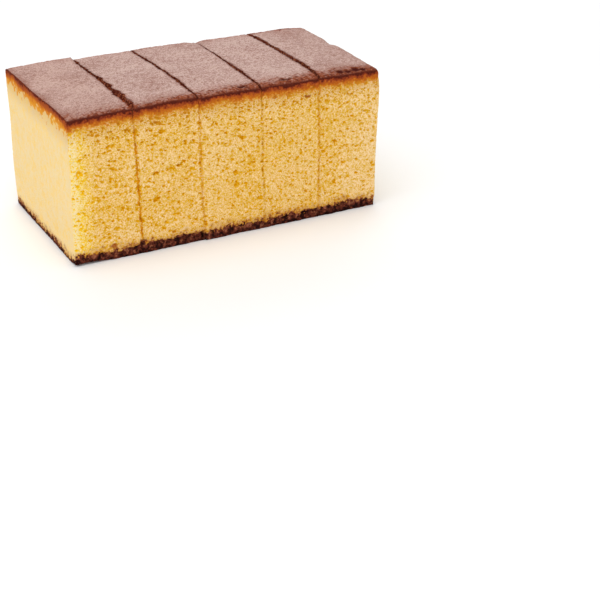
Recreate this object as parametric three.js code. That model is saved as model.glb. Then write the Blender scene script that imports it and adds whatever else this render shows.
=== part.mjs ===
// A castella: a bar of Japanese honey sponge cake, already cut across into five slices that still
// stand together as the whole bar. Each slice is one closed solid with a browned, faintly domed
// crust on top, soft trimmed sides, and a dark, sugary crust underneath.
// Millimetres. +X runs along the bar, +Y from its front to its back, +Z up. The origin is on the
// table, under the middle of the bar.

import * as THREE from "three";
import { mergeVertices } from "three/addons/utils/BufferGeometryUtils.js";

const { lerp, smoothstep, clamp } = THREE.MathUtils;

// ---- The bar ----------------------------------------------------------------------------------

const LENGTH = 120; // between the two ends
const DEPTH = 64.2; // between the two trimmed long sides
const HEIGHT = 53.7; // at the four corners, before their edges are rounded

// The crust is highest in the middle of the bar and leans a little towards the back.
const CROWN = 0.9; // rise of the middle over the two ends
const BACKWARD_FALL = 0.7; // from the front edge to the back edge
const RIGHTWARD_RISE = 0.4; // from the left end to the right end

// How far each kind of edge is rounded.
const TOP_ROUND = 2; // height of the rounding under the crust's rim
const RIM_ROUND = 2.4; // the rim of the crust along the front and the back
const END_ROUND = 2; // the rim of the crust at the right-hand end
const CUT_ROUND = 0.45; // an edge that a knife has left
const FOOT_ROUND = 0.8; // the edge of the bottom crust
const RIM_START = 0.82; // share of the height at which the sides begin to round towards the rim

// ---- The knife cuts ---------------------------------------------------------------------------

// Each cut, from the left end of the bar to the right end: where it crosses the middle of the bar,
// how far it runs to the right from front to back and from foot to crust, how much more it leans
// at the back than at the front, and how far its middle swells out to the right.
const CUTS = [
  { at: -60.45, turn: -1.5, lean: 0.5, twist: -0.8, bow: 0 },
  { at: -35.45, turn: -0.3, lean: -1.2, twist: 0, bow: 0.1 },
  { at: -11.8, turn: -1.3, lean: -0.6, twist: 0, bow: 0.5 },
  { at: 13.3, turn: 1.1, lean: -0.8, twist: 0, bow: 0.4 },
  { at: 35.5, turn: -0.1, lean: 0.3, twist: 0, bow: 1.4 },
  { at: 60.2, turn: 0.3, lean: 1.6, twist: 0, bow: 0.6 },
];
const SLICES = CUTS.length - 1;
const CUT_GAP = 0.36; // clear space that the knife leaves between two slices

// Where the crust has torn away on the right-hand side of a cut: the cut, the middle and the half
// length of the tear along y, and how far the gap opens there.
const TEARS = [
  { cut: 1, middle: -10, reach: 60, opening: 2 },
  { cut: 2, middle: -8, reach: 36, opening: 0.35 },
  { cut: 3, middle: -8, reach: 32, opening: 0.35 },
  { cut: 4, middle: 10, reach: 60, opening: 1.2 },
];
const TEAR_HEIGHT = 5; // how far down from the crust a tear narrows to nothing

// The slices stand a little out of line: backwards, up, and how far the back of each rises over
// its front.
const SLICE_SHIFTS = [0, 0.15, -0.25, -0.25, 0.15];
const SLICE_LIFTS = [0.4, 0.2, -0.2, -0.25, -0.4];
const SLICE_TILTS = [0.8, -0.2, 0.4, 0, 0.05];

// ---- Relief -----------------------------------------------------------------------------------

// How high each kind of unevenness swells, how far apart its swells are, and which one it is.
const CRUST_RELIEF = { swell: 0.2, pitch: 26, seed: 3 }; // the top of the crust
const RIM_RELIEF = { swell: 0.2, pitch: 13, seed: 5 }; // the rim of the crust
const SIDE_RELIEF = { swell: 0.2, pitch: 30, seed: 9 }; // the trimmed sides
const FOOT_RELIEF = { swell: 0.2, pitch: 9, seed: 7 }; // the sugary foot
const CUT_RELIEF = { swell: 0.2, pitch: 38, seed: 11 }; // the cuts
const TEAR_RELIEF = { swell: 0.35, pitch: 7, seed: 23 }; // share by which a tear opens unevenly

const RIM_HEIGHT = 8; // how far down from the crust its rim swells
const FOOT_HEIGHT = 3.6; // thickness of the bottom crust

// Several waves in different headings add up to one relief.
const WAVES = 4;
const WAVE_TURN = 2.4; // radians from the heading of one wave to that of the next
const SLOWEST_WAVE = 0.7; // how often the first wave comes within one pitch
const WAVE_QUICKENING = 0.23; // how much more often each wave comes than the one before
const SEED_TURN = 1.7; // radians between the headings of one seed and the next
const SEED_START = 5.1; // radians between the starting points of one seed and the next

// A smooth wandering height over the plane of a and b.
function relief({ swell, pitch, seed }, a, b) {
  let sum = 0;
  for (let k = 0; k < WAVES; k += 1) {
    const heading = SEED_TURN * seed + WAVE_TURN * k;
    const along = a * Math.cos(heading) + b * Math.sin(heading);
    const turns = ((SLOWEST_WAVE + WAVE_QUICKENING * k) * along) / pitch;
    sum += Math.sin(2 * Math.PI * turns + SEED_START * seed + k);
  }
  return (swell * sum) / (WAVES - 1);
}

// ---- The crust and the cuts -------------------------------------------------------------------

// Height of the crust above the table.
function crustHeight(x, y, slice) {
  const along = (2 * x) / LENGTH;
  const across = (2 * y) / DEPTH;
  return (
    HEIGHT +
    CROWN * (1 - along * along) -
    (BACKWARD_FALL / 2) * across +
    (RIGHTWARD_RISE / 2) * along +
    relief(CRUST_RELIEF, x, y) +
    SLICE_LIFTS[slice] +
    (SLICE_TILTS[slice] / 2) * (1 + across)
  );
}

// Where cut number k passes, at a given depth and height.
function cutPlace(k, y, z) {
  const { at, turn, lean, twist, bow } = CUTS[k];
  const across = y / DEPTH;
  const above = z / HEIGHT - 0.5;
  const uneven = { ...CUT_RELIEF, seed: CUT_RELIEF.seed + k };
  return (
    at +
    turn * across +
    (lean + twist * across) * above +
    bow * (1 - 4 * across * across) +
    relief(uneven, y, z)
  );
}

// How far the crust, whose height is top, has torn away on the right-hand side of cut number k.
function tornAway(k, y, z, top) {
  const tear = TEARS.find(({ cut }) => cut === k);
  if (!tear) return 0;
  const nearness = 1 - smoothstep(Math.abs(y - tear.middle), tear.reach / 2, tear.reach);
  const uneven = { ...TEAR_RELIEF, seed: TEAR_RELIEF.seed + k };
  const raggedness = 1 + relief(uneven, y, z);
  return tear.opening * nearness * raggedness * smoothstep(z, top - TEAR_HEIGHT, top);
}

// ---- One slice --------------------------------------------------------------------------------

// Moves a point of the box from 0 to size onto the same box with rounded edges. The radii at the
// low and at the high end of each axis are given.
function roundEdges(point, size, low, high) {
  const inner = point.map((p, i) => clamp(p, low[i], size[i] - high[i]));
  const radii = point.map((p, i) => (p < inner[i] ? low[i] : high[i]));
  const off = point.map((p, i) => (p - inner[i]) / radii[i]);
  const reach = Math.hypot(...off);
  return inner.map((p, i) => p + (off[i] / reach) * radii[i]);
}

// Carries a point of the unit cube onto the slice: u across it, v from front to back, w up.
function slicePoint(u, v, w, slice) {
  const isLast = slice === SLICES - 1;
  const thickness = CUTS[slice + 1].at - CUTS[slice].at;
  const nearTop = smoothstep(w, RIM_START, 1);
  const sideRound = lerp(CUT_ROUND, RIM_ROUND, nearTop);
  const rightRound = isLast ? lerp(CUT_ROUND, END_ROUND, nearTop) : CUT_ROUND;
  const [a, b, c] = roundEdges(
    [u * thickness, v * DEPTH, w * HEIGHT],
    [thickness, DEPTH, HEIGHT],
    [CUT_ROUND, sideRound, FOOT_ROUND],
    [rightRound, sideRound, TOP_ROUND],
  );

  // The long sides are nearly flat, with an uneven rim and a ragged foot.
  const x = lerp(CUTS[slice].at, CUTS[slice + 1].at, a / thickness);
  const rim = smoothstep(c, HEIGHT - RIM_HEIGHT, HEIGHT);
  const foot = 1 - smoothstep(c, FOOT_HEIGHT / 2, FOOT_HEIGHT);
  const swell =
    relief(SIDE_RELIEF, x, b + c) +
    rim * relief(RIM_RELIEF, x, b) +
    foot * relief(FOOT_RELIEF, x, b);
  const outward = (2 * b) / DEPTH - 1;
  const y = outward * (DEPTH / 2 + swell) + SLICE_SHIFTS[slice];

  const top = crustHeight(x, y, slice);
  const z = (c / HEIGHT) * top;

  const leftGap = slice > 0 ? CUT_GAP / 2 + tornAway(slice, y, z, top) : 0;
  const rightGap = isLast ? 0 : CUT_GAP / 2;
  const left = cutPlace(slice, y, z) + leftGap;
  const right = cutPlace(slice + 1, y, z) - rightGap;
  return [lerp(left, right, a / thickness), y, z];
}

// Faces across the thickness, the depth and the height of one slice, and how strongly they crowd
// towards the rounded edges.
const DIVISIONS = [6, 20, 12];
const CROWDING = 0.85;

// Crowds a share between 0 and 1 towards both ends.
function crowd(share) {
  return lerp(share, (1 - Math.cos(Math.PI * share)) / 2, CROWDING);
}

function sliceGeometry(slice) {
  const cube = new THREE.BoxGeometry(1, 1, 1, ...DIVISIONS);
  cube.deleteAttribute("normal");
  cube.deleteAttribute("uv");
  const geometry = mergeVertices(cube);
  const corners = geometry.getAttribute("position");
  for (let i = 0; i < corners.count; i += 1) {
    const u = crowd(corners.getX(i) + 0.5);
    const v = crowd(corners.getY(i) + 0.5);
    const w = crowd(corners.getZ(i) + 0.5);
    corners.setXYZ(i, ...slicePoint(u, v, w, slice));
  }
  geometry.computeVertexNormals();
  return geometry;
}

// ---- The whole bar ----------------------------------------------------------------------------

const castella = new THREE.Group();
for (let slice = 0; slice < SLICES; slice += 1) {
  const sponge = new THREE.MeshStandardMaterial({
    name: "sponge",
    color: 0xe8b964,
    roughness: 0.9,
  });
  const mesh = new THREE.Mesh(sliceGeometry(slice), sponge);
  mesh.name = `slice_${slice + 1}`;
  castella.add(mesh);
}

export default castella;
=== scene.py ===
import math

import bpy
import numpy as np
from mathutils import Matrix, Vector


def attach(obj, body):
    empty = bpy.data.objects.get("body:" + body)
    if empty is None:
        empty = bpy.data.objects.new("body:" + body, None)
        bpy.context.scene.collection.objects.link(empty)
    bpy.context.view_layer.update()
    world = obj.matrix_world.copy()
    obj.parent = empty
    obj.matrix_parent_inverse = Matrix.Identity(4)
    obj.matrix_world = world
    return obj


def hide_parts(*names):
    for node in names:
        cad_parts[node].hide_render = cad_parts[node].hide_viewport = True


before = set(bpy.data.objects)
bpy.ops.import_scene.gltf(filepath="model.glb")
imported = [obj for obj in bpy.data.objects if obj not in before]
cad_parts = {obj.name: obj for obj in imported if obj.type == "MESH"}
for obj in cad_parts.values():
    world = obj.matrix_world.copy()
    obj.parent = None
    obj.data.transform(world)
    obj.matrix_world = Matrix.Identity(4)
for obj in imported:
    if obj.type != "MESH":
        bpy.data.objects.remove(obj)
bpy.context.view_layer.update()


# ---- The camera ---------------------------------------------------------------------------------
# A long lens looks down on the bar from its front left, so that the left end, the front and the
# crust all show. The bar stands in the upper left of a square picture.

MM = 0.001
CAMERA_TURN = math.radians(-26.73)  # round the bar, from straight in front of it
CAMERA_CLIMB = math.radians(27.23)
CAMERA_ROLL = math.radians(0.28)
CAMERA_DISTANCE = 555.94 * MM
CAMERA_RIGHT = 39.14 * MM  # how far it stands beside the line to the bar
CAMERA_DOWN = 36.97 * MM
LENS = 87  # millimetres
FILM = 36  # its width in millimetres

backward = Vector((
    math.sin(CAMERA_TURN) * math.cos(CAMERA_CLIMB),
    -math.cos(CAMERA_TURN) * math.cos(CAMERA_CLIMB),
    math.sin(CAMERA_CLIMB),
))
level = Vector((math.cos(CAMERA_TURN), math.sin(CAMERA_TURN), 0))
roll = Matrix.Rotation(-CAMERA_ROLL, 3, backward)
rightward = roll @ level
upward = roll @ backward.cross(level)

lens = bpy.data.cameras.new("camera")
lens.lens = LENS
lens.sensor_width = FILM
camera = bpy.data.objects.new("camera", lens)
place = backward * CAMERA_DISTANCE + rightward * CAMERA_RIGHT - upward * CAMERA_DOWN
turned = Matrix((rightward, upward, backward)).transposed().to_4x4()
camera.matrix_world = Matrix.Translation(place) @ turned
bpy.context.scene.collection.objects.link(camera)
bpy.context.scene.camera = camera


# ---- The table and the light --------------------------------------------------------------------
# A plain white table top under soft studio light: soft panels on the left, in front, high above
# and behind, and pale walls all round.

TABLE_SIZE = 8.0
TABLE_WHITE = (0.92, 0.92, 0.92, 1)
TABLE_ROUGHNESS = 0.8
WALLS = 0.45  # brightness of the walls

tabletop = bpy.data.meshes.new("table")
half = TABLE_SIZE / 2
tabletop.from_pydata(
    [(-half, -half, 0), (half, -half, 0), (half, half, 0), (-half, half, 0)], [], [(0, 1, 2, 3)]
)
table = bpy.data.objects.new("table", tabletop)
bpy.context.scene.collection.objects.link(table)
white = bpy.data.materials.new("white_table")
white.use_nodes = True
paint = white.node_tree.nodes["Principled BSDF"].inputs
paint["Base Color"].default_value = TABLE_WHITE
paint["Roughness"].default_value = TABLE_ROUGHNESS
tabletop.materials.append(white)

walls = bpy.data.worlds.new("walls")
walls.use_nodes = True
brightness = walls.node_tree.nodes["Background"].inputs
brightness["Color"].default_value = (1, 1, 1, 1)
brightness["Strength"].default_value = WALLS
bpy.context.scene.world = walls
bpy.context.scene.view_settings.view_transform = "Standard"

# Each panel: its name, where it hangs, how wide and how high it is, and its power in watts.
PANELS = [
    ("left_panel", (-0.75, -0.25, 0.42), (0.7, 0.6), 1.3),
    ("front_panel", (-0.4, -1.4, 0.9), (1.2, 0.9), 5.0),
    ("high_panel", (-0.3, -0.2, 1.6), (2.0, 1.6), 17.5),
    ("back_panel", (0.62, 1.25, 0.75), (1.6, 1.0), 8.0),
]
AIM = Vector((0, 0, 0.03))  # the middle of the bar, which they all face
for name, spot, (wide, high), power in PANELS:
    panel = bpy.data.lights.new(name, "AREA")
    panel.shape = "RECTANGLE"
    panel.size = wide
    panel.size_y = high
    panel.energy = power
    stand = bpy.data.objects.new(name, panel)
    stand.location = spot
    stand.rotation_euler = (AIM - Vector(spot)).to_track_quat("-Z", "Y").to_euler()
    bpy.context.scene.collection.objects.link(stand)


# ---- The slices of sponge -----------------------------------------------------------------------
# Five slices of a baked egg sponge, cut from one bar with a long knife and still standing together.
# The long sides are trimmed and show open pores. The crust on top is fine and closed, and the one
# underneath dark and rough with sugar.

# The sizes, in millimetres, are those of the solids, but for finer edges at the cuts and the foot.
LENGTH = 120
DEPTH = 64.2
HEIGHT = 53.7
CROWN = 0.9  # rise of the middle over the two ends
BACKWARD_FALL = 0.7
RIGHTWARD_RISE = 0.4
TOP_ROUND = 2  # height of the rounding under the rim of the crust
RIM_ROUND = 2.4
END_ROUND = 2
CUT_ROUND = 0.04
FOOT_ROUND = 0.5
RIM_START = 0.82  # share of the height from which the sides round towards the rim
RIM_HEIGHT = 8
FOOT_HEIGHT = 3.6
FOOT_WEAR = [0.9, 1.5, 0.5, 1, 0.5]  # how much of the foot is rubbed off at the right of each slice

# Each cut: where it crosses the middle of the bar, how far it runs to the right from front to back
# and from foot to crust, how much more it leans at the back, how far its middle swells out, how
# strongly the painted shade of its narrow gap shows as a brown seam on the long sides, and how thin
# the browned layers are on its walls.
CUTS = [
    {"at": -60.45, "turn": -1.5, "lean": 0.5, "twist": -0.8, "bow": 0, "seam": 0, "bare": 0.85},
    {"at": -35.45, "turn": -0.3, "lean": -1.2, "twist": 0, "bow": 0.1, "seam": 1, "bare": 1.1},
    {"at": -11.8, "turn": -1.3, "lean": -0.6, "twist": 0, "bow": 0.5, "seam": 0.22, "bare": 1.5},
    {"at": 13.3, "turn": 1.1, "lean": -0.8, "twist": 0, "bow": 0.4, "seam": 0.25, "bare": 1.5},
    {"at": 35.5, "turn": -0.1, "lean": 0.3, "twist": 0, "bow": 1.4, "seam": 0.4, "bare": 1.2},
    {"at": 60.2, "turn": 0.3, "lean": 1.6, "twist": 0, "bow": 0.6, "seam": 0, "bare": 0.85},
]
SLICES = len(CUTS) - 1

# Where the crust has torn on the right of a cut: middle and half length along the cut, width, and
# the share of the width that is left at the back.
TEARS = {
    1: {"middle": -10, "reach": 60, "opening": 2, "back": 0.65},
    2: {"middle": -8, "reach": 36, "opening": 0.35, "back": 1},
    3: {"middle": -8, "reach": 32, "opening": 0.35, "back": 1},
    4: {"middle": 10, "reach": 60, "opening": 1.2, "back": 1},
}
NO_TEAR = {"middle": 0, "reach": 1, "opening": 0, "back": 1}
TEAR_HEIGHT = 5  # how far down from the crust a tear narrows to nothing
SIDE_TEAR = 0.4  # share of a tear's width that is left at the long sides
SIDE_TEAR_HEIGHT = 2.6  # and how far down it reaches there
SLICE_SHIFTS = [0, 0.15, -0.25, -0.25, 0.15]
SLICE_LIFTS = [0.4, 0.2, -0.2, -0.25, -0.4]
SLICE_TILTS = [0.8, -0.2, 0.4, 0, 0.05]  # rise of the back of each slice over its front

# Unevenness: how high it swells, how far apart its swells are, and which one it is.
CRUST_RELIEF = (0.2, 26, 3)
RIM_RELIEF = (0.2, 13, 5)
SIDE_RELIEF = (0.2, 30, 9)
FOOT_RELIEF = (0.2, 9, 7)
CUT_RELIEF = (0.2, 38, 11)
TEAR_RELIEF = (0.35, 7, 23)
WAVES = 4
WAVE_TURN = 2.4  # radians from the heading of one wave to that of the next
SLOWEST_WAVE = 0.7  # how often the first wave comes within one pitch
WAVE_QUICKENING = 0.23
SEED_TURN = 1.7  # radians between the headings of one seed and the next
SEED_START = 5.1


class Amount:
    """A number or a direction that varies over the cake. Reckoning with it adds the nodes that do
    it, Math nodes for numbers and Vector Math nodes where a direction is among the values."""

    def __init__(self, socket):
        self.socket = socket

    def __add__(self, other):
        return reckon("ADD", self, other)

    __radd__ = __add__

    def __mul__(self, other):
        return reckon("MULTIPLY", self, other)

    __rmul__ = __mul__

    def __sub__(self, other):
        return reckon("SUBTRACT", self, other)

    def __rsub__(self, other):
        return reckon("SUBTRACT", other, self)

    def __truediv__(self, other):
        return reckon("DIVIDE", self, other)

    def __rtruediv__(self, other):
        return reckon("DIVIDE", other, self)

    def __abs__(self):
        return reckon("ABSOLUTE", self)

    def __lt__(self, other):
        return reckon("LESS_THAN", self, other)


class Recipe:
    """A node tree. Its add method puts in one node of any type."""

    def __init__(self, tree):
        self.tree = tree

    def add(self, kind, settings=None, inputs=None):
        """Adds a node: first its settings, then a value or a link for each input, which is given
        by its name or its number. Returns the outputs by name."""
        node = self.tree.nodes.new(kind)
        for name, value in (settings or {}).items():
            if name == "stops":
                self.set_stops(node.color_ramp.elements, value)
            else:
                setattr(node, name, value)
        for name, value in (inputs or {}).items():
            if isinstance(name, int):
                socket = node.inputs[name]
            else:
                socket = next(s for s in node.inputs if s.name == name and s.enabled)
            if isinstance(value, Amount):
                self.tree.links.new(value.socket, socket)
            else:
                socket.default_value = value
        return {s.name: Amount(s) for s in node.outputs if s.enabled}

    def step(self, geometry, kind, inputs=None, settings=None):
        """The geometry after one more node."""
        return self.add(kind, settings, {"Geometry": geometry, **(inputs or {})})["Geometry"]

    @staticmethod
    def set_stops(elements, stops):
        """Gives a ramp its stops, each a position and a colour as it looks on a screen."""
        while len(elements) > 1:
            elements.remove(elements[-1])
        elements[0].position = stops[0][0]
        elements[0].color = shade(*stops[0][1])
        for position, color in stops[1:]:
            elements.new(position).color = shade(*color)

    def split(self, vector):
        """The three parts of a direction or a place."""
        return self.add("ShaderNodeSeparateXYZ", inputs={"Vector": vector}).values()

    def join(self, x, y, z):
        return self.add("ShaderNodeCombineXYZ", inputs={"X": x, "Y": y, "Z": z})["Vector"]

    def noise(self, place, pitch, detail=2, output="Fac"):
        """A random unevenness around 0, rarely beyond a quarter, whose lumps are a pitch apart."""
        inputs = {"Vector": place, "Scale": 1 / pitch, "Detail": detail}
        return self.add("ShaderNodeTexNoise", inputs=inputs)[output] - 0.5


def is_vector(value):
    if isinstance(value, Amount):
        return value.socket.type in ("VECTOR", "RGBA")
    return isinstance(value, tuple)


def reckon(operation, *values):
    """One node that reckons with amounts and plain numbers, in their order."""
    tree = next(v for v in values if isinstance(v, Amount)).socket.id_data
    kind, output = "ShaderNodeMath", "Value"
    if any(is_vector(v) for v in values):
        kind, output = "ShaderNodeVectorMath", "Vector"
        values = [(v, v, v) if isinstance(v, (int, float)) else v for v in values]
    return Recipe(tree).add(kind, {"operation": operation}, dict(enumerate(values)))[output]


def smallest(a, b):
    return reckon("MINIMUM", a, b)


def largest(a, b):
    return reckon("MAXIMUM", a, b)


def blend(a, b, share):
    """From a, at share 0, to b, at share 1."""
    return a + (b - a) * share


def ease(value, low, high):
    """Rises smoothly from 0 at low to 1 at high."""
    share = smallest(largest((value - low) / (high - low), 0), 1)
    return share * share * (3 - 2 * share)


def fade(value, low, high):
    """Falls smoothly from 1 at low to 0 at high."""
    return 1 - ease(value, low, high)


def relief(kind, a, b, seed_step=0):
    """A smooth wandering height over the plane of a and b: several waves in different headings."""
    swell, pitch, first_seed = kind
    seed = first_seed + seed_step
    total = 0
    for k in range(WAVES):
        heading = SEED_TURN * seed + WAVE_TURN * k
        if isinstance(heading, Amount):
            east, north = reckon("COSINE", heading), reckon("SINE", heading)
        else:
            east, north = math.cos(heading), math.sin(heading)
        turns = (a * east + b * north) * ((SLOWEST_WAVE + WAVE_QUICKENING * k) / pitch)
        total = total + reckon("SINE", 2 * math.pi * turns + (SEED_START * seed + k))
    return total * (swell / (WAVES - 1))


# The blank that becomes a slice is a unit cube of many small faces, whose lines crowd a little
# towards its edges. A side that the next slice covers has fine faces only round its border.
LINES = (108, 160, 244)  # across the slice, from front to back, and up
CROWDING = 0.3
FINE = [(0, 0, 1, 1)]  # each ring: its insets and its steps along the two axes of the side
COARSE = [(0, 0, 1, 1), (2, 2, 2, 2), (6, 6, 4, 4)]
TALL = [(0, 0, 1, 1), (1, 2, 1, 2)]


def zipped(outer, inner, heading):
    """Triangles between two rows of lattice points that run the same way, inner on the left."""
    faces = []
    i = j = 0
    while i < len(outer) - 1 or j < len(inner) - 1:
        outer_next = np.dot(outer[i + 1], heading) if i < len(outer) - 1 else math.inf
        inner_next = np.dot(inner[j + 1], heading) if j < len(inner) - 1 else math.inf
        if outer_next <= inner_next:
            faces.append((outer[i], outer[i + 1], inner[j]))
            i += 1
        else:
            faces.append((outer[i], inner[j + 1], inner[j]))
            j += 1
    return faces


def ring_rows(count_a, count_b, ring):
    """The four sides of a ring, anticlockwise: the lattice points of each, and its heading."""
    inset_a, inset_b, step_a, step_b = ring
    along_a = range(inset_a, count_a - inset_a + 1, step_a)
    along_b = range(inset_b, count_b - inset_b + 1, step_b)
    return [
        ([(a, inset_b) for a in along_a], (1, 0)),
        ([(count_a - inset_a, b) for b in along_b], (0, 1)),
        ([(a, count_b - inset_b) for a in reversed(along_a)], (-1, 0)),
        ([(inset_a, b) for b in reversed(along_b)], (0, -1)),
    ]


def face_of_blank(count_a, count_b, rings):
    """The faces over a lattice of count_a by count_b: zipped rings and a grid inside them."""
    faces = []
    for outer_ring, inner_ring in zip(rings, rings[1:]):
        outer_rows = ring_rows(count_a, count_b, outer_ring)
        inner_rows = ring_rows(count_a, count_b, inner_ring)
        for (outer, heading), (inner, _) in zip(outer_rows, inner_rows):
            faces += zipped(outer, inner, heading)
    inset_a, inset_b, step_a, step_b = rings[-1]
    for a in range(inset_a, count_a - inset_a, step_a):
        for b in range(inset_b, count_b - inset_b, step_b):
            faces.append(((a, b), (a + step_a, b), (a + step_a, b + step_b), (a, b + step_b)))
    return faces


def blank_mesh(name, left_rings, right_rings):
    """The closed unit cube, with the given rings on the sides that become the walls of the cuts."""
    sides = [  # each side: its axis, which end of it, and its rings
        (0, 0, left_rings),
        (0, 1, right_rings),
        (1, 0, FINE),
        (1, 1, FINE),
        (2, 0, COARSE),
        (2, 1, FINE),
    ]
    corners = {}
    faces = []
    for axis, end, rings in sides:
        first, second = (axis + 1) % 3, (axis + 2) % 3
        for face in face_of_blank(LINES[first], LINES[second], rings):
            numbers = []
            for a, b in face:
                point = [0, 0, 0]
                point[axis] = LINES[axis] * end
                point[first] = a
                point[second] = b
                numbers.append(corners.setdefault(tuple(point), len(corners)))
            faces.append(numbers if end else numbers[::-1])
    share = np.array(list(corners)) / LINES
    places = share + CROWDING * ((1 - np.cos(math.pi * share)) / 2 - share)
    mesh = bpy.data.meshes.new(name)
    mesh.from_pydata(places.tolist(), [], faces)
    return mesh


# The open texture of the crumb, in kinds: how far apart the pores lie, how deep they reach, the
# share of them that is open low down and near the crust, how strongly the shade painted in them
# shows, their form and which random draw they are. The last kind stands proud instead: flakes of
# torn wall, which are painted paler as a highlight.
PORE_FORM = (0.28, 0.56, 0.22)  # least and greatest radius and width of the slope, for 1 apart
FLAKE_FORM = (0.2, 0.5, 0.2)
PORES = [
    {"apart": 0.8, "depth": 0.18, "open": (0.9, 0.9), "tint": 0.6, "form": PORE_FORM, "draw": 0},
    {"apart": 1.25, "depth": 0.28, "open": (0.45, 0.55), "tint": 0.65, "form": PORE_FORM, "draw": 40},
    {"apart": 2.2, "depth": 0.4, "open": (0.06, 0.2), "tint": 0.6, "form": PORE_FORM, "draw": 80},
    {"apart": 0.8, "depth": -0.14, "open": (0.6, 0.6), "tint": -0.6, "form": FLAKE_FORM, "draw": 170},
]
PORE_WIDTH = 1.4  # how much wider than high a pore is
CROOKED = 0.8  # how far the pores are pushed out of shape
CROOKED_NOISE = (1.0, 1)  # the pitch and the detail of a noise, here and below
PORES_WIDEN = (4, 14)  # depths under the crust between which the large pores become rarer
PORES_BEGIN = (1.2, 3.0)  # depths between which the closed rind opens into pores
PORES_END = (2.2, 4.4)  # heights over the table between which the foot does
PORES_DEEPEN = (10, 48)  # heights between which the pores get deeper upwards
DEEPENED = (0.7, 1.15)  # share of their depth low down, and high up
CUT_FACE_OPENNESS = 0.15  # of the pores on a cut, which the knife has smoothed

# Single marks: the middle of each and its half sizes. The large flat holes lie in the front, the
# pits in the rim of the crust above it; the scorches are bits of crust that the knife has dragged.
HOLES = [
    ((-27.4, -32, 47.9), (1.4, 3, 0.8)),
    ((-19.6, -32, 30.9), (1.2, 3, 0.6)),
    ((-28.3, -32, 29.4), (1.6, 3, 0.7)),
]
PITS = [
    ((46.1, -28.2, 54), (2.2, 2.2, 4)),
    ((49.1, -29.1, 54), (1.6, 1.8, 4)),
    ((52.2, -28.7, 54), (2.2, 2.2, 4)),
    ((54.9, -29.3, 54), (1.6, 1.8, 4)),
    ((24.1, -28.4, 54), (3.2, 1.2, 3)),
    ((6.6, -28.9, 54), (2.6, 1.2, 3)),
]
SCORCHES = [
    ((30.9, -32, 48.3), (1.9, 3, 0.8)),
    ((17.6, -32, 50), (1.3, 3, 0.8)),
    ((-45.6, -32, 5.3), (1.7, 3, 1.2)),
]
MARK_WANDER = 2.0  # how far the border of a mark wanders
MARK_NOISE = (1.6, 2)
MARK_BORDER = 0.5  # share of a mark that its border takes up
HOLE_DEPTH = 0.6
HOLE_SHADE = 1.1
PIT_DEPTH = 0.5

# Places where the bar has sunk or risen a little: the middle, the half sizes, and how far it sinks.
DIPS = [
    ((13, 33, 54), (4.5, 9, 9), 1.0),
    ((59, 33, 54), (6, 6, 9), 0.5),
    ((61, 7, 54), (6, 6, 9), 0.8),
    ((-57, -33, 0), (12, 8, 4), -0.9),
]

# The knife. A cut strays from its line and opens a little in the crust, which has crumbled here and
# there along it. In a notch more of it is missing: the cut, the middle and half length of the notch
# along it, and how far the walls on the left and on the right of the cut stand back.
KNIFE_STRAYS = [(0.9, 5, 3), (1.3, 1.5, 2)]  # how far, pitch and detail
CUT_OPENING = (0, 0.35)  # width of a cut on the sides, and on the crust
CRUMBLED = 1.7  # how far the crust has crumbled at most
CRUMBLE_NOISE = (1.1, 3)
NOTCHES = [
    {"cut": 1, "at": -17.5, "reach": 3, "width": (0.7, 1)},
    {"cut": 2, "at": -13.5, "reach": 10, "width": (-0.2, 0.65)},
    {"cut": 3, "at": -9, "reach": 10, "width": (0.1, 0.45)},
]
NOTCH_WANDER = 5  # how far the ends of a notch wander
NOTCH_NOISE = (1.5, 2)
TEAR_RAGGED = 0.7  # share by which a tear opens unevenly
TEAR_NOISE = (1.2, 3)
TEAR_NARROWS = (-8, 20)  # y between which a tear narrows towards the back
FROM_SIDE = (0, 8)  # distances from the sides between which it gets its full width
NEXT_DRAW = 50  # step through a noise that gives each cut its own part of it
NIBBLE = 0.25  # depth of the bays that the knife has torn beside a cut
NIBBLE_NOISE = (1.5, 2)
NIBBLED = (0.1, 0.8)  # distances from the cut between which they end
NIBBLE_RISE = (-0.05, 0.1)  # unevenness over which they set in
NIBBLE_SHADE = 0.5

# The foot is lumpy with half-melted sugar, and the crust has faint dents, deeper along its rim and
# at the ends of the bar.
LUMP = 3.6  # depth of the hollows between the lumps
LUMP_NOISE = (1.9, 3)
LUMPS_WIDEN = 0.06  # how much of the noise below its middle still counts as hollow
LUMPS_ON_CUT = 0.4  # share of their depth on a cut
FOOT_ENDS = (2.8, 4.2)  # heights between which the foot ends
DENT = 0.25
DENT_NOISE = (2.8, 3)
DENTS_SUNK = 0.2
RIM_DENT = 1.6
RIM_DENT_NOISE = (1.5, 2)
RIM_INSET = (1.5, 5)  # distances from the sides between which they end
END_DENT = 2.4
END_DENT_NOISE = (2.2, 3)
END_REACH = (0.5, 2)  # distances from the end between which they end
CRUST_ENDS = (0.6, 2.0)  # depths between which all dents end


def sizes_of_slice(number):
    """The inputs that form a slice. Number 0 is the slice at the left end of the bar. A gap is 1
    where there is a cut on that side, and 0 at an end of the bar."""
    is_last = number == SLICES - 1
    sizes = {
        "Left number": number,
        "Right number": number + 1,
        "Left gap": number > 0,
        "Right gap": not is_last,
        "Right round": END_ROUND if is_last else CUT_ROUND,
        "Shift": SLICE_SHIFTS[number],
        "Lift": SLICE_LIFTS[number],
        "Tilt": SLICE_TILTS[number],
        "Wear": FOOT_WEAR[number],
    }
    sizes |= {f"Left {key}": value for key, value in CUTS[number].items()}
    sizes |= {f"Right {key}": value for key, value in CUTS[number + 1].items()}
    sizes |= {f"Tear {key}": value for key, value in TEARS.get(number, NO_TEAR).items()}
    return {name: float(value) for name, value in sizes.items()}


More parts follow.
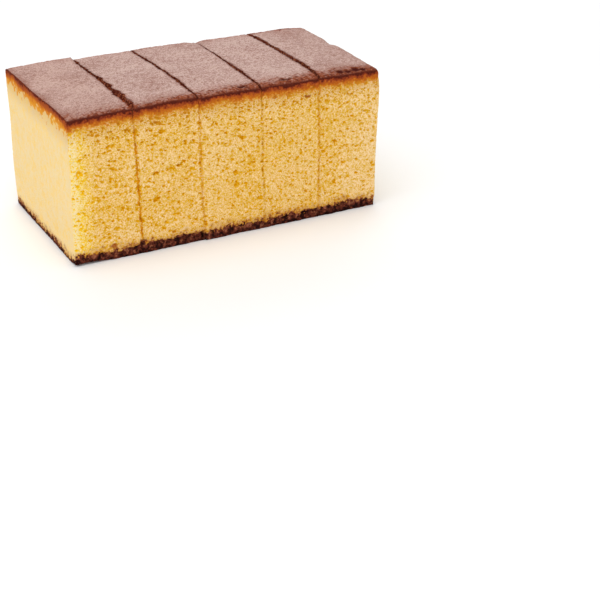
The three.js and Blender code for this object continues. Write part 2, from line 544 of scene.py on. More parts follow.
def new_tree(name, sizes, objects=()):
    """A Geometry Nodes tree with an input for each size and object, and one for its finish."""
    tree = bpy.data.node_groups.new(name, "GeometryNodeTree")
    inputs = {"Geometry": ["Geometry"], "Float": sizes, "Object": objects, "Material": ["Finish"]}
    for kind, names in inputs.items():
        for input_name in names:
            tree.interface.new_socket(input_name, in_out="INPUT", socket_type=f"NodeSocket{kind}")
    tree.interface.new_socket("Geometry", in_out="OUTPUT", socket_type="NodeSocketGeometry")
    return tree


slice_tree = new_tree("slice_of_sponge", sizes_of_slice(0))
baker = Recipe(slice_tree)
given = baker.add("NodeGroupInput")

# A point of the blank, moved onto the same box with rounded edges.
u, v, w = baker.split(baker.add("GeometryNodeInputPosition")["Position"])
thickness = given["Right at"] - given["Left at"]
near_top = ease(w, RIM_START, 1)
side_round = blend(CUT_ROUND, RIM_ROUND, near_top)
right_round = blend(CUT_ROUND, given["Right round"], near_top)
axes = [
    (u * thickness, thickness, CUT_ROUND, right_round),
    (v * DEPTH, DEPTH, side_round, side_round),
    (w * HEIGHT, HEIGHT, FOOT_ROUND, TOP_ROUND),
]
inner = [largest(smallest(p, size - high), low) for p, size, low, high in axes]
radii = [high + (low - high) * (p < core) for (p, _, low, high), core in zip(axes, inner)]
off = [(p - core) / radius for (p, _, _, _), core, radius in zip(axes, inner, radii)]
reach = reckon("SQRT", off[0] * off[0] + off[1] * off[1] + off[2] * off[2])
a, b, c = [core + part / reach * radius for core, part, radius in zip(inner, off, radii)]

# The slice itself, with the same swells as its solid.
along = given["Left at"] + a
rim = ease(c, HEIGHT - RIM_HEIGHT, HEIGHT)
foot = fade(c, FOOT_HEIGHT / 2, FOOT_HEIGHT)
swell = (
    relief(SIDE_RELIEF, along, b + c)
    + rim * relief(RIM_RELIEF, along, b)
    + foot * relief(FOOT_RELIEF, along, b)
)
y = (2 * b / DEPTH - 1) * (DEPTH / 2 + swell) + given["Shift"]
length_share = 2 * along / LENGTH
top = (
    HEIGHT
    + CROWN * (1 - length_share * length_share)
    - BACKWARD_FALL * y / DEPTH
    + RIGHTWARD_RISE / 2 * length_share
    + relief(CRUST_RELIEF, along, y)
    + given["Lift"]
    + given["Tilt"] * (y / DEPTH + 0.5)
)
z = c / HEIGHT * top

# The cuts stray a little more than those of the solids. The two slices beside a cut share its
# strays, and a tear takes from the one on its right alone.
inside = ease(DEPTH / 2 - abs(y), *FROM_SIDE)
near_crust = ease(z, top - blend(SIDE_TEAR_HEIGHT, TEAR_HEIGHT, inside), top)
opening = blend(*CUT_OPENING, near_crust)


def cut_place(side):
    """Where the cut on one side of the slice passes, at the depth and the height of the point."""
    keys = ("at", "turn", "lean", "twist", "bow", "number")
    at, turn, lean, twist, bow, number = [given[f"{side} {key}"] for key in keys]
    across = y / DEPTH
    above = z / HEIGHT - 0.5
    return (
        at
        + turn * across
        + (lean + twist * across) * above
        + bow * (1 - 4 * across * across)
        + relief(CUT_RELIEF, y, z, number)
    )


def knife_stray(number):
    """How far a cut lies off that place."""
    spot = baker.join(number * NEXT_DRAW, y, z)
    wide, fine = [far * baker.noise(spot, pitch, detail) for far, pitch, detail in KNIFE_STRAYS]
    return wide + fine


def broken_off(number, side):
    """How far the crust stands back on one side of a cut, 0 for its left and 1 for its right."""
    spot = baker.join(number * NEXT_DRAW + side * NEXT_DRAW / 2, y, z)
    missing = CRUMBLED * largest(baker.noise(spot, *CRUMBLE_NOISE), 0)
    wander = NOTCH_WANDER * baker.noise(baker.join(number, y, z), *NOTCH_NOISE)
    for notch in NOTCHES:
        there = 1 - smallest(abs(number - notch["cut"]), 1)
        away = abs(y - notch["at"] + wander)
        share = fade(away, notch["reach"] / 3, notch["reach"])
        missing = missing + there * share * notch["width"][side]
    return missing * near_crust * blend(SIDE_TEAR, 1, inside)


left_number = given["Left number"]
right_number = given["Right number"]
tear_share = fade(abs(y - given["Tear middle"]), given["Tear reach"] / 2, given["Tear reach"])
raggedness = (
    1
    + relief(TEAR_RELIEF, y, z, left_number)
    + TEAR_RAGGED * baker.noise(baker.join(left_number * NEXT_DRAW, y, z), *TEAR_NOISE)
)
narrowing = blend(SIDE_TEAR, 1, inside) * blend(1, given["Tear back"], ease(y, *TEAR_NARROWS))
torn = given["Tear opening"] * tear_share * raggedness * near_crust * narrowing
torn = torn + broken_off(left_number, 1)
left_stray = opening / 2 + torn + knife_stray(left_number)
right_stray = knife_stray(right_number) - opening / 2 - broken_off(right_number, 0)
left = cut_place("Left") + given["Left gap"] * left_stray
right = cut_place("Right") + given["Right gap"] * right_stray
x = blend(left, right, a / thickness)


def kept(geometry, values):
    """Stores values at every point, for later steps and for the finish."""
    for name, value in values.items():
        inputs = {"Name": name, "Value": value}
        geometry = baker.step(geometry, "GeometryNodeStoreNamedAttribute", inputs)
    return geometry


def known(name):
    """A value that was stored before."""
    return baker.add("GeometryNodeInputNamedAttribute", inputs={"Name": name})["Attribute"]


# Before a point moves, it notes how deep it lies under the crust, how high over the table, and how
# far from the long sides, from the next cut and from the end of the bar. It also takes on what
# belongs to the nearer cut, and whether it lies in a torn wall.
FAR = 100  # added to the distance from a side that has no cut, or that is no end
TORN_WALL = (0, 0.5)  # how far behind a torn wall it stops being torn
MIDDLE = (0.45, 0.55)  # shares of the thickness between which the other cut becomes the nearer
from_right = thickness - a
cut_on_left = a + FAR * (1 - given["Left gap"])
cut_on_right = from_right + FAR * (1 - given["Right gap"])
end_on_left = a + FAR * given["Left gap"]
end_on_right = from_right + FAR * given["Right gap"]
right_half = ease(a / thickness, *MIDDLE)
noted = kept(given["Geometry"], {
    "under_crust": top - z,
    "over_table": z,
    "to_side": DEPTH / 2 - abs(y),
    "to_cut": smallest(cut_on_left, cut_on_right),
    "to_left": end_on_left,
    "to_end": smallest(end_on_left, end_on_right),
    "wear": given["Wear"] * (a / thickness) * (a / thickness),
    "seam": blend(given["Left seam"], given["Right seam"], right_half),
    "bare": blend(given["Left bare"], given["Right bare"], right_half),
    "torn": torn * fade(a, *TORN_WALL),
})
formed = baker.step(noted, "GeometryNodeSetPosition", {"Position": baker.join(x, y, z) * MM})

# The pores are cut into the formed slice, along its own normals.
facing = baker.add("GeometryNodeInputNormal")["Normal"]
facing_x, facing_y, facing_z = baker.split(facing)
here = baker.add("GeometryNodeInputPosition")["Position"] / MM
squeezed = here * (1 / PORE_WIDTH, 1 / PORE_WIDTH, 1)
crooked = squeezed + CROOKED * baker.noise(here, *CROOKED_NOISE, "Color")
upper = fade(known("under_crust"), *PORES_WIDEN)
# Each pore also paints shade: the deeper into it, the more amber; a proud flake is painted paler.
pore_depth = 0
pore_tint = 0
for kind in PORES:
    inputs = {"Vector": crooked + kind["draw"], "Scale": 1 / kind["apart"]}
    cells = baker.add("ShaderNodeTexVoronoi", inputs=inputs)
    draw, size_draw, _ = baker.split(cells["Color"])
    least, greatest, slope = kind["form"]
    within = blend(least, greatest, size_draw) - cells["Distance"]
    hollow = ease(within, 0, slope) * (draw < blend(*kind["open"], upper))
    pore_depth = pore_depth + hollow * kind["depth"]
    pore_tint = pore_tint + hollow * kind["tint"]


def outwards(place, middle, half_sizes):
    """How far out a place lies from the middle of a mark or a dip: 1 at its border."""
    away = (place - middle) / half_sizes
    return baker.add("ShaderNodeVectorMath", {"operation": "LENGTH"}, {0: away})["Value"]


def marks(places):
    """1 in the middle of each mark, 0 outside, with ragged borders."""
    total = 0
    for middle, half_sizes in places:
        total = total + ease(1 - outwards(crumbly, middle, half_sizes), 0, MARK_BORDER)
    return total


crumbly = here + MARK_WANDER * baker.noise(here, *MARK_NOISE, "Color")
holes = marks(HOLES)
pits = marks(PITS)
to_cut = known("to_cut")
nibbled = fade(to_cut, *NIBBLED) * ease(baker.noise(here, *NIBBLE_NOISE), *NIBBLE_RISE)
# The large holes and the bays beside a cut get the same painted shade.
pore_tint = largest(pore_tint, holes * HOLE_SHADE) + nibbled * NIBBLE_SHADE

under_crust = known("under_crust")
over_table = known("over_table")
crumb_share = ease(under_crust, *PORES_BEGIN) * ease(over_table, *PORES_END)
# A step between two slices that stand out of line looks like the long side.
STEP = (0.2, 0.8)  # distances from the long side over which such a step ends
off_step = blend(1, ease(known("to_side"), *STEP), ease(known("to_end"), *END_REACH))
on_cut = facing_x * facing_x * off_step
deepness = blend(*DEEPENED, ease(over_table, *PORES_DEEPEN))
openness = blend(CUT_FACE_OPENNESS, 1, facing_y * facing_y) * deepness
formed = kept(formed, {
    "facing_up": facing_z,
    "on_cut": on_cut,
    "pore_tint": pore_tint,
    "pits": pits,
    "scorched": marks(SCORCHES),
})

lumps = largest(baker.noise(here, *LUMP_NOISE) + LUMPS_WIDEN, 0) * LUMP + known("wear")
foot_share = fade(over_table, *FOOT_ENDS) * (1 - abs(facing_z))
crust_share = fade(under_crust, *CRUST_ENDS)
rim_dents = fade(known("to_side"), *RIM_INSET) * largest(baker.noise(here, *RIM_DENT_NOISE), 0)
end_dents = fade(known("to_end"), *END_REACH) * largest(baker.noise(here, *END_DENT_NOISE), 0)
dents = (baker.noise(here, *DENT_NOISE) + DENTS_SUNK) * DENT
dents = dents + rim_dents * RIM_DENT + pits * PIT_DEPTH + end_dents * END_DENT
torn_out = (holes * HOLE_DEPTH + nibbled * NIBBLE) * facing_y * facing_y
sunk = (
    crumb_share * (openness * pore_depth + torn_out)
    + foot_share * lumps * blend(1, LUMPS_ON_CUT, facing_x * facing_x)
    + crust_share * dents
)

# A cut stays closed, and the underside flat.
CLOSED = (0.1, 0.3)  # distances from a cut over which its walls may begin to sink in
inward = facing * baker.join(ease(to_cut, *CLOSED), 1, ease(over_table, 0, 1))
dip = 0
for middle, half_sizes, depth in DIPS:
    dip = dip + fade(outwards(here, middle, half_sizes), 0, 1) * depth
offset = (inward * sunk + baker.join(0, 0, dip)) * -MM
pitted = baker.step(formed, "GeometryNodeSetPosition", {"Offset": offset})
whole = baker.step(pitted, "GeometryNodeRealizeInstances")
whole = baker.step(whole, "GeometryNodeSetShadeSmooth")
# The knife leaves a sharp edge round the walls of a cut.
KNIFE_EDGE = 0.9  # radians between two faces, from which the edge between them is sharp
BESIDE_CUT = 0.3  # how far from the cut such an edge may lie
corner = baker.add("GeometryNodeInputMeshEdgeAngle")["Unsigned Angle"]
sharp = (KNIFE_EDGE - corner < 0) * (known("to_cut") < BESIDE_CUT)
inputs = {"Selection": sharp, "Shade Smooth": False}
whole = baker.step(whole, "GeometryNodeSetShadeSmooth", inputs, {"domain": "EDGE"})
whole = baker.step(whole, "GeometryNodeSetMaterial", {"Material": given["Finish"]})
baker.add("NodeGroupOutput", inputs={"Geometry": whole})


def shade(red, green, blue):
    """A colour as it looks on a screen, 0 to 255, as the amounts of light that make it."""
    parts = [value / 255 for value in (red, green, blue)]
    linear = [p / 12.92 if p < 0.04045 else ((p + 0.055) / 1.055) ** 2.4 for p in parts]
    return (*linear, 1)


def new_finish(name):
    """An empty material, and the recipe that fills it."""
    material = bpy.data.materials.new(name)
    material.use_nodes = True
    material.node_tree.nodes.clear()
    return material, Recipe(material.node_tree)


sponge, finish = new_finish("sponge")


def read(name):
    """A value that the slice has stored at its points."""
    return finish.add("ShaderNodeAttribute", {"attribute_name": name})["Fac"]


def mixed(first, second, share):
    """The first colour where share is 0, the second where it is 1."""
    inputs = {"Factor": share, "A": first, "B": second}
    return finish.add("ShaderNodeMix", {"data_type": "RGBA"}, inputs)["Result"]


def ramped(stops, place):
    """The colour at a place of a row of colours."""
    return finish.add("ShaderNodeValToRGB", {"stops": stops}, {"Fac": place})["Color"]


# The finish of the sponge. From the crust down: a pale bloom over brown, partly painted sheen, a
# dark rind, an orange layer, then the yellow crumb, cream on its walls and amber in its pores as
# painted shade, and a dark brown foot.
# Five noises make all of it uneven, from a fine grain to broad clouds: the pitch and the detail.
# The number beside a noise in a sum is how far it shifts a border there, or changes a colour.
NOISES = [(0.45, 2), (0.75, 2), (1.8, 3), (5.5, 2), (14, 2)]
here = finish.add("ShaderNodeTexCoord")["Object"] / MM
east, north, _ = finish.split(here)
grain, fleck, mottle, patch, cloud = [finish.noise(here, *kind) for kind in NOISES]

# Crumb: speckled on the trimmed sides, smooth and pale on a cut, and with a painted glow near the
# left end, where light from the left shines through.
# Deeper into a pore the crumb turns amber: painted shade and light scattered in the hollow.
CRUMB = [  # how far into a pore, and the colour there
    (0.0, (250, 217, 166)),
    (0.2, (240, 199, 124)),
    (0.4, (231, 182, 70)),
    (0.6, (229, 171, 16)),
    (0.8, (222, 154, 0)),
    (1.0, (212, 134, 0)),
]
# Paler and yellower crumb: a painted glow of the light that shines in through the left end.
PAINTED_GLOW_CRUMB = [  # the same where light comes through from the left end
    (0.0, (253, 231, 188)),
    (0.32, (254, 229, 156)),
    (0.6, (255, 212, 40)),
    (0.8, (252, 200, 20)),
    (1.0, (246, 182, 14)),
]
CUT_CRUMB = [  # on a cut
    (0.0, (245, 218, 166)),
    (1.0, (251, 211, 118)),
]
CONTRAST = 0.8  # how fast the colour changes with the unevenness
MIDDLE_TINT = 0.28
CUT_TINT = 0.25
PORE_TINT = (1, 1.6)  # strength of the pores low down and near the crust
GRAIN_TINT = (1.9, 3.2)  # and of the grain
HIGH_UP = (3, 13)  # depths under the crust between which that changes
HIGH_PALER = 0.03
RIGHT_END = (36, 58)  # x between which the crumb gets paler
RIGHT_PALER = 0.12
PAINTED_GLOW = 0.9  # strength of the light from the left end
PAINTED_GLOW_ENDS = (1, 10)  # distances from that end between which it fades
WARMTH = 0.3  # how much deeper the colour is from here on
WARMER = (2, 4)
on_cut = read("on_cut")
left_end = read("to_left")
# The painted glow is strongest at the left end and fades within a centimetre of it.
painted_glow = fade(left_end + mottle * 8, *PAINTED_GLOW_ENDS) * PAINTED_GLOW
high_up = fade(read("under_crust") + mottle * 4, *HIGH_UP)
# The place on the ramp: the painted shade of the pores, with grain and flecks of random tone.
tint = read("pore_tint") * blend(*PORE_TINT, high_up) + grain * blend(*GRAIN_TINT, high_up)
tint = tint + fleck * 1.1 + cloud * 0.4 + MIDDLE_TINT
tint = tint - HIGH_PALER * high_up - RIGHT_PALER * ease(east, *RIGHT_END)
# Inside the painted glow the colour gets deeper from a few millimetres in.
painted_glow_tint = tint + WARMTH * ease(left_end, *WARMER)
crumb = mixed(ramped(CRUMB, tint * CONTRAST), ramped(PAINTED_GLOW_CRUMB, painted_glow_tint * CONTRAST), painted_glow)
cut_tint = mottle * 1.8 + fleck * 1.2 + grain * 0.8 + patch * 1.2 + CUT_TINT
crumb = mixed(crumb, ramped(CUT_CRUMB, cut_tint), on_cut)

# Along a cut: a brown seam on the long sides, in places broken or darker, and a brown groove on the
# walls just inside it, both painted shade and scattered light of the narrow gap between two slices.
# The scorched bits are browner still.
# The colours of the painted shade in the gap between two slices.
PAINTED_SEAM_SHADE = shade(222, 142, 14)
DARKER_SEAM_SHADE = shade(178, 92, 22)
SEAM_WIDTH = (0.2, 0.6)  # distances from the cut between which it ends
SEAM_UNBROKEN = (-0.25, -0.05)  # unevenness over which it is unbroken
SEAM_DARKER = (0, 0.16)
AT_END = (0.6, 2)  # distances from the ends between which their own look fades
GROOVE_DEPTH = (0.5, 2)
GROOVE_SHADE = 0.85
SCORCH = shade(152, 62, 14)
SCORCHED = 0.95
# The painted seam of shade: strongest right at the cut, and broken in places.
seam = fade(read("to_cut") + fleck * 2.4, *SEAM_WIDTH) * ease(patch + mottle, *SEAM_UNBROKEN)
groove_shade = on_cut * ease(read("to_end"), *AT_END) * fade(read("to_side"), *GROOVE_DEPTH)
seam_shade_colour = mixed(PAINTED_SEAM_SHADE, DARKER_SEAM_SHADE, ease(mottle + fleck, *SEAM_DARKER))
crumb = mixed(crumb, seam_shade_colour, largest(seam * read("seam"), groove_shade * GROOVE_SHADE))
crumb = mixed(crumb, SCORCH, read("scorched") * SCORCHED)

# The browned layers under the crust, on the long sides and cuts and, thinner, at the ends of the
# bar. Their lower border is ragged, most of all at the ends.
LAYERS = [  # how deep under the crust, and the colour there
    (0.0, (104, 46, 32)),
    (1.2, (78, 26, 16)),
    (1.7, (130, 52, 28)),
    (2.4, (172, 82, 32)),
    (3.3, (198, 110, 28)),
    (4.5, (216, 142, 40)),
]
END_LAYERS = [
    (0.0, (92, 32, 22)),
    (0.7, (92, 32, 20)),
    (1.0, (158, 72, 36)),
    (1.8, (178, 86, 28)),
    (2.4, (212, 124, 30)),
    (4.0, (228, 154, 44)),
]
DEEPEST_LAYER = 5.6
CRUMB_FROM = (3.4, DEEPEST_LAYER)  # depths between which they turn into crumb
END_CRUMB_FROM = (3.9, 4.7)
LEVEL = (0, 1.6)  # depths between which the layers begin to wander
LUMPY_NOISE = (3, 1)
TANNED = shade(190, 132, 58)
TAN = 0.32  # share of tan in the crumb below them
TAN_ENDS = (4, 11)
TORN = shade(178, 104, 70)  # lighter crumbs on the torn walls of a cut
TORN_NOISE = (0.9, 2)
TORN_BITS = (0, 0.1)
TORN_SHARE = 0.8
FRINGE = shade(150, 68, 24)  # browner bits in the orange layer at the ends
FRINGE_SHARE = 0.6
FRINGE_ENDS = (2.5, 3.9)
FRINGE_BITS = (0, 0.14)
under = read("under_crust")
wander = patch * 3 + mottle * 2.5 + fleck * 2.5
outer = on_cut * fade(read("to_end"), *AT_END)
wall = on_cut * (1 - outer)
depth = (under + wander * ease(under, *LEVEL)) * blend(1, read("bare"), on_cut)
crumb = mixed(crumb, TANNED, TAN * fade(depth, *TAN_ENDS))
baked, end_baked = [
    ramped([(deep / DEEPEST_LAYER, color) for deep, color in stops], depth / DEEPEST_LAYER)
    for stops in (LAYERS, END_LAYERS)
]
baked = mixed(baked, end_baked, outer)
baked = mixed(baked, TORN, wall * ease(finish.noise(here, *TORN_NOISE), *TORN_BITS) * TORN_SHARE)
lumpy = finish.noise(here, *LUMPY_NOISE)
ragged = depth + fleck * blend(3, 1.5, outer) + outer * (mottle * 8 + lumpy * 6)
crumb_from = [blend(side, end, outer) for side, end in zip(CRUMB_FROM, END_CRUMB_FROM)]
layers = mixed(baked, crumb, ease(ragged, *crumb_from))
fringe = fade(ragged, *FRINGE_ENDS) * ease(fleck + mottle, *FRINGE_BITS)
layers = mixed(layers, FRINGE, outer * FRINGE_SHARE * fringe)

# Crust: a pale bloom with a fine grain, partly painted sheen of the lights over a browner
# crust; worn brown along the rim, where the painted sheen gives way; dark in its pits.
# The pale colours hold painted sheen, the light that the glossy crust reflects, over its brown.
CRUST_PALE = shade(202, 167, 155)
CRUST_WARM = shade(197, 158, 144)  # the pale of the first slice
# The right-hand end is darker: partly a browner crust, partly painted shade where the sheen fades.
CRUST_TAN_AND_SHADE = shade(182, 142, 128)  # and of the right-hand end
WARM_ENDS = (-46, -30)  # x between which the first slice's pale ends
TAN_AND_SHADE_BEGINS = (40, 60)
TAN_AND_SHADE_SHARE = 0.5
CRUST_DARK = shade(142, 86, 66)
SPECKLE = (-0.5, 0.7)  # unevenness from the palest to the darkest speckle
RIM_BROWN = shade(140, 74, 48)
RIM_DARK = shade(92, 36, 24)
PIT_DARK = shade(66, 16, 8)
RIM = (2.8, 6.8)  # distances from the long sides between which the rim ends
LESS_WORN = 30  # how far to the left the rim gets 1 millimetre narrower
BACK_NARROWER = 4  # how much narrower the rim is behind the middle of the bar
BEHIND = (0, 20)
BROWNINGS = [(0.2, (4, 13)), (0.45, RIM), (0.36, (1.2, 4))]  # strength, and where it ends
WRINKLE_NOISE = (0.9, 3)
WRINKLES = (0, 0.12)
WRINKLE_SPARED = 0.4
FRECKLES = (0.04, 0.12)
FRECKLED = (4, 10)  # distances between which the freckles end
FRECKLE_SHARE = 0.6
SPOT_NOISE = (1.3, 2)
SPOTS = (0.02, 0.1)
DARK_WRINKLES = (0.08, 0.16)
SPOT_SHARE = 0.8
END_RIM = (0.3, 2.6)
END_RIM_SHARE = 0.6
CUT_RIM = (0.4, 1)  # distances from a cut between which its brown border ends
CUT_BROWN = 0.8
BACK_PALER = 0.5  # how much less brown that border is at the back
CUT_PALER = (-8, 16)
CUT_LINE = (0.1, 0.5)
CUT_LINE_SHARE = 0.8
speckle = ease(grain * 2.8 + fleck * 1.6 + mottle * 1.5 + cloud * 1.0, *SPECKLE)
inset = read("to_side") + mottle * 11 + patch * 8
inset = inset - east / LESS_WORN + BACK_NARROWER * ease(north, *BEHIND)
rim = fade(inset, *RIM)
bloom_and_sheen = mixed(CRUST_WARM, CRUST_PALE, ease(east + patch * 24, *WARM_ENDS))
bloom_and_sheen = mixed(bloom_and_sheen, CRUST_TAN_AND_SHADE, ease(east + patch * 20, *TAN_AND_SHADE_BEGINS) * TAN_AND_SHADE_SHARE)
wide_brown, rim_brown, edge_brown = [share * fade(inset, *ends) for share, ends in BROWNINGS]
wrinkle = finish.noise(here, *WRINKLE_NOISE)
browning = (wide_brown + rim_brown + edge_brown) * (1 - WRINKLE_SPARED * ease(wrinkle, *WRINKLES))
crust = mixed(mixed(bloom_and_sheen, CRUST_DARK, speckle), RIM_BROWN, browning)
freckles = fade(inset, *FRECKLED) * ease(0 - wrinkle, *FRECKLES)
crust = mixed(crust, RIM_BROWN, freckles * FRECKLE_SHARE)
blots = ease(finish.noise(here, *SPOT_NOISE), *SPOTS)
spots = rim * largest(blots, ease(0 - wrinkle, *DARK_WRINKLES))
crust = mixed(mixed(crust, RIM_DARK, spots * SPOT_SHARE), PIT_DARK, read("pits"))
end_rim = fade(read("to_end") + mottle * 7 + patch * 7, *END_RIM)
crust = mixed(crust, RIM_BROWN, end_rim * END_RIM_SHARE)
beside_cut = fade(read("to_cut") + mottle * 2.4 + fleck, *CUT_RIM)
crust = mixed(crust, RIM_BROWN, beside_cut * (CUT_BROWN - BACK_PALER * ease(north, *CUT_PALER)))
crust = mixed(crust, RIM_DARK, CUT_LINE_SHARE * fade(read("to_cut") + mottle, *CUT_LINE))

# The crust shows where a face looks up, close to the top.
LOOKS_UP = (0.6, 0.95)
CRUST_DEPTH = (0.3, 1.1)
on_top = ease(read("facing_up") + mottle * 0.5, *LOOKS_UP) * fade(under + mottle, *CRUST_DEPTH)
colour = mixed(layers, crust, on_top)

# Foot: lumpy and dark, with a ragged border that is singed and tanned above it. Its darkest and
# palest spots, drawn at random, are partly painted shade and highlights of the lumps.
FOOT = [
    (0.0, (40, 14, 12)),
    (0.45, (92, 42, 30)),
    (0.75, (116, 58, 42)),
    (1.0, (156, 98, 70)),
]
FOOT_NOISE = (1.7, 2)
FOOT_CONTRAST = 3.6
FOOT_TINT = 0.24
FOOT_PALER = 0.08  # for each millimetre up
FOOT_BORDERS = (3.9, 2.1)  # its height on the long sides and on a cut
FOOT_SOFT = 0.6
FOOT_TAN = 0.6
TAN_OVER_FOOT = 3
SINGED = shade(176, 98, 40)
SINGE = 0.9
SINGE_HEIGHTS = (0.3, 0.8)  # how far it reaches below and above the border
border = blend(*FOOT_BORDERS, on_cut)
over = read("over_table") + patch * 4 + mottle * 6 + fleck * 4
off_crust = 1 - on_top
colour = mixed(colour, TANNED, off_crust * FOOT_TAN * fade(over, border, border + TAN_OVER_FOOT))
singe = SINGE * fade(over + fleck * 2, border - SINGE_HEIGHTS[0], border + SINGE_HEIGHTS[1])
colour = mixed(colour, SINGED, off_crust * singe)
foot_tint = finish.noise(here, *FOOT_NOISE) * FOOT_CONTRAST + grain * 1.2
foot_tint = foot_tint + FOOT_TINT + over * FOOT_PALER
colour = mixed(ramped(FOOT, foot_tint), colour, ease(over, border - FOOT_SOFT, border))

# The crumb is dull and lets a little light in, and the bloom of the crust has a faint gloss.
CRUMB_ROUGHNESS = 0.9
CRUMB_GLOSS = 0.06
LIGHT_INSIDE = 0.15
LIGHT_REACH = (1.0, 0.6, 0.25)  # of red, green and blue light, for each of the next
LIGHT_DEPTH = 1.5
CRUST_ROUGHNESS = 0.5
CRUST_GLOSS = 0.4
DULL_BROWN = 1.4  # how fast the browning takes the gloss away
crumb_relief = {"Distance": MM, "Height": grain * 0.3 + mottle * 0.1}
crust_relief = {"Distance": MM, "Height": grain * 0.5 + fleck * 0.3 + mottle * 0.3}
inputs = {
    "Base Color": colour,
    "Roughness": CRUMB_ROUGHNESS,
    "Specular IOR Level": CRUMB_GLOSS,
    "Normal": finish.add("ShaderNodeBump", inputs=crumb_relief)["Normal"],
    "Subsurface Weight": LIGHT_INSIDE,
    "Subsurface Radius": LIGHT_REACH,
    "Subsurface Scale": LIGHT_DEPTH * MM,
}
crumb_skin = finish.add("ShaderNodeBsdfPrincipled", inputs=inputs)["BSDF"]
inputs = {
    "Base Color": colour,
    "Roughness": CRUST_ROUGHNESS,
    "Specular IOR Level": CRUST_GLOSS,
    "Normal": finish.add("ShaderNodeBump", inputs=crust_relief)["Normal"],
}
crust_skin = finish.add("ShaderNodeBsdfPrincipled", inputs=inputs)["BSDF"]
glossy = on_top * (1 - smallest(browning * DULL_BROWN + read("pits"), 1))
skin = finish.add("ShaderNodeMixShader", inputs={0: glossy, 1: crumb_skin, 2: crust_skin})["Shader"]
finish.add("ShaderNodeOutputMaterial", inputs={"Surface": skin})

blanks = {
    "left": blank_mesh("left_blank", TALL, COARSE),
    "inside": blank_mesh("inside_blank", COARSE, COARSE),
    "right": blank_mesh("right_blank", COARSE, TALL),
}


def made_plain(piece, tree, values):
    """Runs a tree on a piece with the given inputs, and leaves the result as a plain mesh."""
    socket_of = {item.name: item.identifier for item in tree.interface.items_tree}
    former = piece.modifiers.new("form", "NODES")
    former.node_group = tree
    for name, value in values.items():
        former[socket_of[name]] = value
    graph = bpy.context.evaluated_depsgraph_get()
    plain = bpy.data.meshes.new_from_object(piece.evaluated_get(graph))
    piece.modifiers.clear()
    piece.data = plain


def slice_of_sponge(number):
    kind = {0: "left", SLICES - 1: "right"}.get(number, "inside")
    piece = bpy.data.objects.new(f"sponge_slice_{number + 1}", blanks[kind])
    bpy.context.scene.collection.objects.link(piece)
    made_plain(piece, slice_tree, {**sizes_of_slice(number), "Finish": sponge})
    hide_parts(f"slice_{number + 1}")
    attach(piece, "root")
    return piece


sponge_slices = [slice_of_sponge(number) for number in range(SLICES)]


# ---- The loose crumbs ---------------------------------------------------------------------------
# Bits of crust and sponge that the knife has torn off. They cling to the walls of the wide tears,
# each a lump of baked sponge about half a millimetre across.

CRUMB_SIZES = {
    "Smallest": 0.14,  # radius
    "Largest": 0.42,
    "Spacing": 0.75,  # least distance between two
    "Density": 0.6,  # for each square millimetre of torn wall
    "Deepest": 4.5,  # below the crust
}
TORN_OFF = (0.3, 1)  # widths of a tear between which crumbs begin to cling
WALL_ALONE = (0.5, 0.9)  # how squarely a face has to look along the bar
CRUMB_LUMP = 1.6  # how far its lumps stand out, for a crumb of radius 1
CRUMB_LUMP_NOISE = (1.1, 2)
CRUMB_GRAIN = (0.3, 2)
CRUMB_ROUGH = 0.2
CRUMB_ROUGH_NOISE = (0.2, 2)
CRUMB_DULLNESS = 0.8
CRUMB_SHEEN = 0.2
CRUMB_SEED = 4

crumb_tree = new_tree("loose_crumbs", CRUMB_SIZES, ["Second slice", "Fifth slice"])
strewer = Recipe(crumb_tree)
chosen = strewer.add("NodeGroupInput")
joined = strewer.add("GeometryNodeJoinGeometry")["Geometry"]
for name in ("Second slice", "Fifth slice"):
    torn_slice = strewer.add("GeometryNodeObjectInfo", inputs={"Object": chosen[name]})["Geometry"]
    crumb_tree.links.new(torn_slice.socket, joined.socket.node.inputs["Geometry"])


def stored(name):
    """A value that the slices have stored at their points."""
    return strewer.add("GeometryNodeInputNamedAttribute", inputs={"Name": name})["Attribute"]


where = ease(stored("torn"), *TORN_OFF) * ease(stored("on_cut"), *WALL_ALONE)
where = where * fade(stored("under_crust"), chosen["Deepest"] / 2, chosen["Deepest"])
inputs = {
    "Mesh": joined,
    "Distance Min": chosen["Spacing"] * MM,
    "Density Max": chosen["Density"] / (MM * MM),
    "Density Factor": where,
    "Seed": CRUMB_SEED,
}
settings = {"distribute_method": "POISSON"}
strewn = strewer.add("GeometryNodeDistributePointsOnFaces", settings, inputs)["Points"]
inputs = {"Radius": 1.0, "Subdivisions": 2}
ball = strewer.add("GeometryNodeMeshIcoSphere", inputs=inputs)["Mesh"]
on_ball = strewer.add("GeometryNodeInputPosition")["Position"]
bulge = strewer.noise(on_ball, *CRUMB_LUMP_NOISE, "Color")
lump = strewer.step(ball, "GeometryNodeSetPosition", {"Offset": bulge * CRUMB_LUMP})


def drawn(low, high, seed, kind="FLOAT"):
    """A random draw for each crumb."""
    inputs = {"Min": low, "Max": high, "Seed": seed}
    return strewer.add("FunctionNodeRandomValue", {"data_type": kind}, inputs)["Value"]


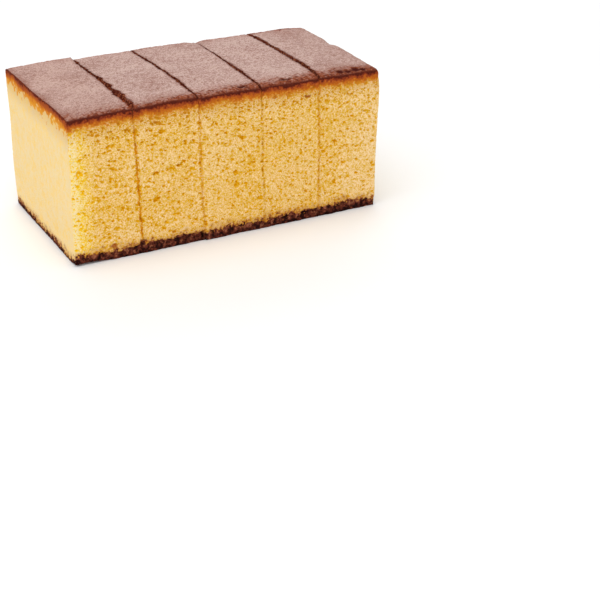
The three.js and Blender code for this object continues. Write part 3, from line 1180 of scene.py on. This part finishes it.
whole_turns = (2 * math.pi,) * 3
inputs = {
    "Points": strewn,
    "Instance": lump,
    "Rotation": drawn((0, 0, 0), whole_turns, CRUMB_SEED + 1, "FLOAT_VECTOR"),
    "Scale": drawn(chosen["Smallest"] * MM, chosen["Largest"] * MM, CRUMB_SEED + 2),
}
crumbs = strewer.add("GeometryNodeInstanceOnPoints", inputs=inputs)["Instances"]
inputs = {"Name": "brownness", "Value": drawn(0, 1, CRUMB_SEED + 3)}
settings = {"domain": "INSTANCE"}
crumbs = strewer.step(crumbs, "GeometryNodeStoreNamedAttribute", inputs, settings)
crumbs = strewer.step(crumbs, "GeometryNodeRealizeInstances")
crumbs = strewer.step(crumbs, "GeometryNodeSetShadeSmooth")
crumbs = strewer.step(crumbs, "GeometryNodeSetMaterial", {"Material": chosen["Finish"]})
strewer.add("NodeGroupOutput", inputs={"Geometry": crumbs})

baked_crumb, toast = new_finish("baked_crumb")
spot = toast.add("ShaderNodeTexCoord")["Object"] / MM
brownness = toast.add("ShaderNodeAttribute", {"attribute_name": "brownness"})["Fac"]
CRUMB_BROWNS = [
    (0.0, (66, 24, 18)),
    (0.5, (128, 58, 38)),
    (0.85, (172, 92, 64)),
    (1.0, (204, 124, 84)),
]
toasting = brownness + toast.noise(spot, *CRUMB_GRAIN)
browned = toast.add("ShaderNodeValToRGB", {"stops": CRUMB_BROWNS}, {"Fac": toasting})["Color"]
crumb_relief = {"Distance": MM, "Height": toast.noise(spot, *CRUMB_ROUGH_NOISE) * CRUMB_ROUGH}
rough = toast.add("ShaderNodeBump", inputs=crumb_relief)
inputs = {
    "Base Color": browned,
    "Roughness": CRUMB_DULLNESS,
    "Specular IOR Level": CRUMB_SHEEN,
    "Normal": rough["Normal"],
}
toasted = toast.add("ShaderNodeBsdfPrincipled", inputs=inputs)["BSDF"]
toast.add("ShaderNodeOutputMaterial", inputs={"Surface": toasted})

loose_crumbs = bpy.data.objects.new("loose_crumbs", bpy.data.meshes.new("crumb_start"))
bpy.context.scene.collection.objects.link(loose_crumbs)
wide_tears = {"Second slice": sponge_slices[1], "Fifth slice": sponge_slices[4]}
made_plain(loose_crumbs, crumb_tree, {**CRUMB_SIZES, **wide_tears, "Finish": baked_crumb})
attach(loose_crumbs, "root")
